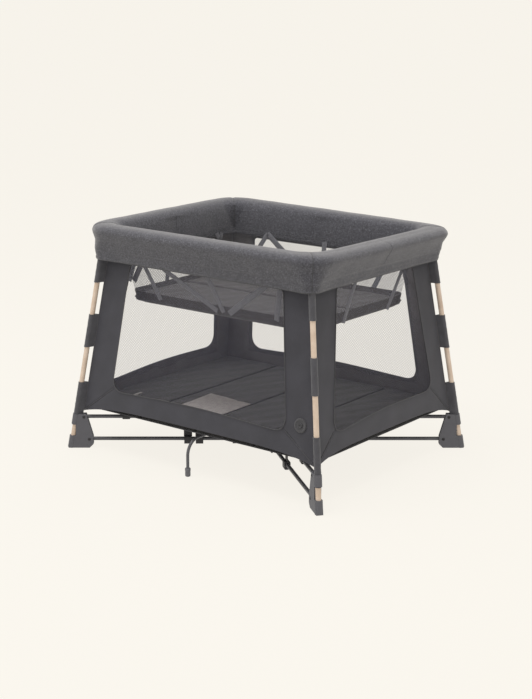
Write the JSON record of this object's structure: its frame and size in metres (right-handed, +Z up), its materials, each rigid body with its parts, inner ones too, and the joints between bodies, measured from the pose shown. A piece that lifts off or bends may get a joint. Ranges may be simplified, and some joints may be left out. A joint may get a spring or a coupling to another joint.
{
  "type": "folding playpen",
  "caption": "Folding travel playpen with padded rails, mesh windows, a bassinet insert and leaning tube legs that draw together on links round a central hub.",
  "frame": {"origin": "middle of the footprint on the floor plane", "axes": "+X along the long side, -Y towards the front, +Z up"},
  "size_m": [1.0578, 0.8524, 0.781],
  "materials": {
    "leg_tube": "satin powder coat",
    "bracket": "fine moulded texture",
    "corner": "fine moulded texture",
    "rivet": "plated",
    "link": "satin powder coat",
    "hub": "fine moulded texture",
    "handle": "fine moulded texture",
    "rail": "satin powder coat",
    "rail_cover": "melange woven cloth",
    "wall": "plain woven cloth",
    "mesh": "fine net",
    "floor": "plain woven cloth",
    "mattress": "plain woven cloth",
    "insert": "fine net",
    "insert_board": "plain woven cloth",
    "wire": "satin powder coat",
    "boot": "matt"
  },
  "bodies": {
    "leg_front_left": {"leg_tube_front_left": "leg_tube", "foot_bracket_front_left": "bracket", "corner_bracket_front_left": "corner", "leg_pins_front_left": "rivet", "front_wall": "wall", "front_mesh": "mesh", "left_wall": "wall", "left_mesh": "mesh", "front_rail_cover": "rail_cover", "left_rail_cover": "rail_cover", "bassinet_sides": "insert"},
    "leg_front_right": {"leg_tube_front_right": "leg_tube", "foot_bracket_front_right": "bracket", "corner_bracket_front_right": "corner", "leg_pins_front_right": "rivet", "right_wall": "wall", "right_mesh": "mesh", "right_rail_cover": "rail_cover"},
    "leg_back_left": {"leg_tube_back_left": "leg_tube", "foot_bracket_back_left": "bracket", "corner_bracket_back_left": "corner", "leg_pins_back_left": "rivet", "back_wall": "wall", "back_mesh": "mesh", "back_rail_cover": "rail_cover"},
    "leg_back_right": {"leg_tube_back_right": "leg_tube", "foot_bracket_back_right": "bracket", "corner_bracket_back_right": "corner", "leg_pins_back_right": "rivet"},
    "hub": {"hub_body": "hub", "hub_cap": "hub", "hub_pins": "rivet", "floor_panel": "floor"},
    "hub_handle": {"hub_handle": "handle"},
    "support_front": {"support_wire_front": "wire", "support_boot_front": "boot"},
    "support_back": {"support_wire_back": "wire", "support_boot_back": "boot"},
    "bassinet_front": {"bassinet_pad_front": "insert_board"},
    "bassinet_back": {"bassinet_pad_back": "insert_board"},
    "lower_link_front_left": {"lower_link_front_left": "link"},
    "upper_link_front_left": {"upper_link_front_left": "link"},
    "lower_link_front_right": {"lower_link_front_right": "link"},
    "upper_link_front_right": {"upper_link_front_right": "link"},
    "lower_link_back_left": {"lower_link_back_left": "link"},
    "upper_link_back_left": {"upper_link_back_left": "link"},
    "lower_link_back_right": {"lower_link_back_right": "link"},
    "upper_link_back_right": {"upper_link_back_right": "link"},
    "front_rail_left": {"front_rail_left": "rail"},
    "front_rail_right": {"front_rail_right": "rail"},
    "back_rail_left": {"back_rail_left": "rail"},
    "back_rail_right": {"back_rail_right": "rail"},
    "left_rail_front": {"left_rail_front": "rail"},
    "left_rail_back": {"left_rail_back": "rail"},
    "right_rail_front": {"right_rail_front": "rail"},
    "right_rail_back": {"right_rail_back": "rail"},
    "mattress_left_outer": {"mattress_panel_left_outer": "mattress"},
    "mattress_left_inner": {"mattress_panel_left_inner": "mattress"},
    "mattress_right_inner": {"mattress_panel_right_inner": "mattress"},
    "mattress_right_outer": {"mattress_panel_right_outer": "mattress"}
  },
  "joints": [
    {"name": "fold", "type": "hinge", "parent": "leg_front_left", "child": "lower_link_front_left", "pos_m": [-0.46698, -0.37358, 0.03], "axis": [0.6247, -0.7809, 0], "range_deg": [0, 78], "deforming": ["front_wall", "front_mesh", "left_wall", "left_mesh", "front_rail_cover", "left_rail_cover", "bassinet_sides", "right_wall", "right_mesh", "right_rail_cover", "back_wall", "back_mesh", "back_rail_cover", "floor_panel", "bassinet_pad_front", "bassinet_pad_back", "mattress_panel_left_outer", "mattress_panel_left_inner", "mattress_panel_right_inner", "mattress_panel_right_outer"]},
    {"name": "hub_lift", "type": "hinge", "parent": "lower_link_front_left", "child": "hub", "pos_m": [-0.08199, -0.06559, 0.03], "axis": [0.6247, -0.7809, 0], "range_deg": [-78, 0]},
    {"name": "lower_link_front_right_swing", "type": "hinge", "parent": "hub", "child": "lower_link_front_right", "pos_m": [0.08199, -0.06559, 0.03], "axis": [0.6247, 0.7809, 0], "range_deg": [0, 78]},
    {"name": "leg_front_right_draw", "type": "hinge", "parent": "lower_link_front_right", "child": "leg_front_right", "pos_m": [0.46698, -0.37358, 0.03], "axis": [0.6247, 0.7809, 0], "range_deg": [-78, 0]},
    {"name": "lower_link_back_right_swing", "type": "hinge", "parent": "hub", "child": "lower_link_back_right", "pos_m": [0.08199, 0.06559, 0.03], "axis": [-0.6247, 0.7809, 0], "range_deg": [0, 78]},
    {"name": "leg_back_right_draw", "type": "hinge", "parent": "lower_link_back_right", "child": "leg_back_right", "pos_m": [0.46698, 0.37358, 0.03], "axis": [-0.6247, 0.7809, 0], "range_deg": [-78, 0]},
    {"name": "lower_link_back_left_swing", "type": "hinge", "parent": "hub", "child": "lower_link_back_left", "pos_m": [-0.08199, 0.06559, 0.03], "axis": [-0.6247, -0.7809, 0], "range_deg": [0, 78]},
    {"name": "leg_back_left_draw", "type": "hinge", "parent": "lower_link_back_left", "child": "leg_back_left", "pos_m": [-0.46698, 0.37358, 0.03], "axis": [-0.6247, -0.7809, 0], "range_deg": [-78, 0]},
    {"name": "upper_link_front_left_swing", "type": "hinge", "parent": "hub", "child": "upper_link_front_left", "pos_m": [-0.09488, -0.0759, 0.108], "axis": [0.6247, -0.7809, 0], "range_deg": [0, 78]},
    {"name": "upper_link_front_right_swing", "type": "hinge", "parent": "hub", "child": "upper_link_front_right", "pos_m": [0.09488, -0.0759, 0.108], "axis": [0.6247, 0.7809, 0], "range_deg": [0, 78]},
    {"name": "upper_link_back_left_swing", "type": "hinge", "parent": "hub", "child": "upper_link_back_left", "pos_m": [-0.09488, 0.0759, 0.108], "axis": [-0.6247, -0.7809, 0], "range_deg": [0, 78]},
    {"name": "upper_link_back_right_swing", "type": "hinge", "parent": "hub", "child": "upper_link_back_right", "pos_m": [0.09488, 0.0759, 0.108], "axis": [-0.6247, 0.7809, 0], "range_deg": [0, 78]},
    {"name": "front_rail_left_fold", "type": "hinge", "parent": "leg_front_left", "child": "front_rail_left", "pos_m": [-0.38499, -0.33187, 0.735], "axis": [0, 1, 0], "range_deg": [0, 78]},
    {"name": "front_rail_right_fold", "type": "hinge", "parent": "leg_front_right", "child": "front_rail_right", "pos_m": [0.38499, -0.33187, 0.735], "axis": [0, -1, 0], "range_deg": [0, 78]},
    {"name": "back_rail_left_fold", "type": "hinge", "parent": "leg_back_left", "child": "back_rail_left", "pos_m": [-0.38499, 0.33187, 0.735], "axis": [0, 1, 0], "range_deg": [0, 78]},
    {"name": "back_rail_right_fold", "type": "hinge", "parent": "leg_back_right", "child": "back_rail_right", "pos_m": [0.38499, 0.33187, 0.735], "axis": [0, -1, 0], "range_deg": [0, 78]},
    {"name": "left_rail_front_fold", "type": "hinge", "parent": "leg_front_left", "child": "left_rail_front", "pos_m": [-0.41483, -0.30799, 0.735], "axis": [-1, 0, 0], "range_deg": [0, 78]},
    {"name": "left_rail_back_fold", "type": "hinge", "parent": "leg_back_left", "child": "left_rail_back", "pos_m": [-0.41483, 0.30799, 0.735], "axis": [1, 0, 0], "range_deg": [0, 78]},
    {"name": "right_rail_front_fold", "type": "hinge", "parent": "leg_front_right", "child": "right_rail_front", "pos_m": [0.41483, -0.30799, 0.735], "axis": [-1, 0, 0], "range_deg": [0, 78]},
    {"name": "right_rail_back_fold", "type": "hinge", "parent": "leg_back_right", "child": "right_rail_back", "pos_m": [0.41483, 0.30799, 0.735], "axis": [1, 0, 0], "range_deg": [0, 78]},
    {"name": "mattress_left_inner_fold", "type": "hinge", "parent": "hub", "child": "mattress_left_inner", "pos_m": [-0.0005, 0, 0.1699], "axis": [0, 1, 0], "range_deg": [0, 90]},
    {"name": "mattress_left_outer_fold", "type": "hinge", "parent": "mattress_left_inner", "child": "mattress_left_outer", "pos_m": [-0.23567, 0, 0.1455], "axis": [0, -1, 0], "range_deg": [0, 180]},
    {"name": "mattress_right_inner_fold", "type": "hinge", "parent": "hub", "child": "mattress_right_inner", "pos_m": [0.0005, 0, 0.1699], "axis": [0, -1, 0], "range_deg": [0, 90]},
    {"name": "mattress_right_outer_fold", "type": "hinge", "parent": "mattress_right_inner", "child": "mattress_right_outer", "pos_m": [0.23567, 0, 0.1455], "axis": [0, 1, 0], "range_deg": [0, 180]},
    {"name": "bassinet_front_fold", "type": "hinge", "parent": "leg_front_left", "child": "bassinet_front", "pos_m": [0, -0.2537, 0.5004], "axis": [1, 0, 0], "range_deg": [0, 85]},
    {"name": "bassinet_back_fold", "type": "hinge", "parent": "leg_back_left", "child": "bassinet_back", "pos_m": [0, 0.2537, 0.5004], "axis": [-1, 0, 0], "range_deg": [0, 85]},
    {"name": "support_front_fold", "type": "hinge", "parent": "hub", "child": "support_front", "pos_m": [-0.012, -0.066, 0.118], "axis": [1, 0, 0], "range_deg": [0, 90]},
    {"name": "support_back_fold", "type": "hinge", "parent": "hub", "child": "support_back", "pos_m": [0.012, 0.066, 0.118], "axis": [-1, 0, 0], "range_deg": [0, 90]},
    {"name": "handle_pull", "type": "slide", "parent": "hub", "child": "hub_handle", "axis": [0, 0, 1], "range_m": [0, 0.005]}
  ],
  "couplings": [
    {"joint": "hub_lift", "follows": "fold", "ratio": -1},
    {"joint": "lower_link_front_right_swing", "follows": "fold", "ratio": 1},
    {"joint": "leg_front_right_draw", "follows": "fold", "ratio": -1},
    {"joint": "lower_link_back_right_swing", "follows": "fold", "ratio": 1},
    {"joint": "leg_back_right_draw", "follows": "fold", "ratio": -1},
    {"joint": "lower_link_back_left_swing", "follows": "fold", "ratio": 1},
    {"joint": "leg_back_left_draw", "follows": "fold", "ratio": -1},
    {"joint": "upper_link_front_left_swing", "follows": "fold", "ratio": 1},
    {"joint": "upper_link_front_right_swing", "follows": "fold", "ratio": 1},
    {"joint": "upper_link_back_left_swing", "follows": "fold", "ratio": 1},
    {"joint": "upper_link_back_right_swing", "follows": "fold", "ratio": 1},
    {"joint": "front_rail_left_fold", "follows": "fold", "ratio": 1},
    {"joint": "front_rail_right_fold", "follows": "fold", "ratio": 1},
    {"joint": "back_rail_left_fold", "follows": "fold", "ratio": 1},
    {"joint": "back_rail_right_fold", "follows": "fold", "ratio": 1},
    {"joint": "left_rail_front_fold", "follows": "fold", "ratio": 1},
    {"joint": "left_rail_back_fold", "follows": "fold", "ratio": 1},
    {"joint": "right_rail_front_fold", "follows": "fold", "ratio": 1},
    {"joint": "right_rail_back_fold", "follows": "fold", "ratio": 1},
    {"joint": "mattress_left_inner_fold", "follows": "fold", "ratio": 1.1538},
    {"joint": "mattress_left_outer_fold", "follows": "fold", "ratio": 2.3077},
    {"joint": "mattress_right_inner_fold", "follows": "fold", "ratio": 1.1538},
    {"joint": "mattress_right_outer_fold", "follows": "fold", "ratio": 2.3077},
    {"joint": "bassinet_front_fold", "follows": "fold", "ratio": 1.0897},
    {"joint": "bassinet_back_fold", "follows": "fold", "ratio": 1.0897},
    {"joint": "support_front_fold", "follows": "fold", "ratio": 1.1538},
    {"joint": "support_back_fold", "follows": "fold", "ratio": 1.1538}
  ]
}
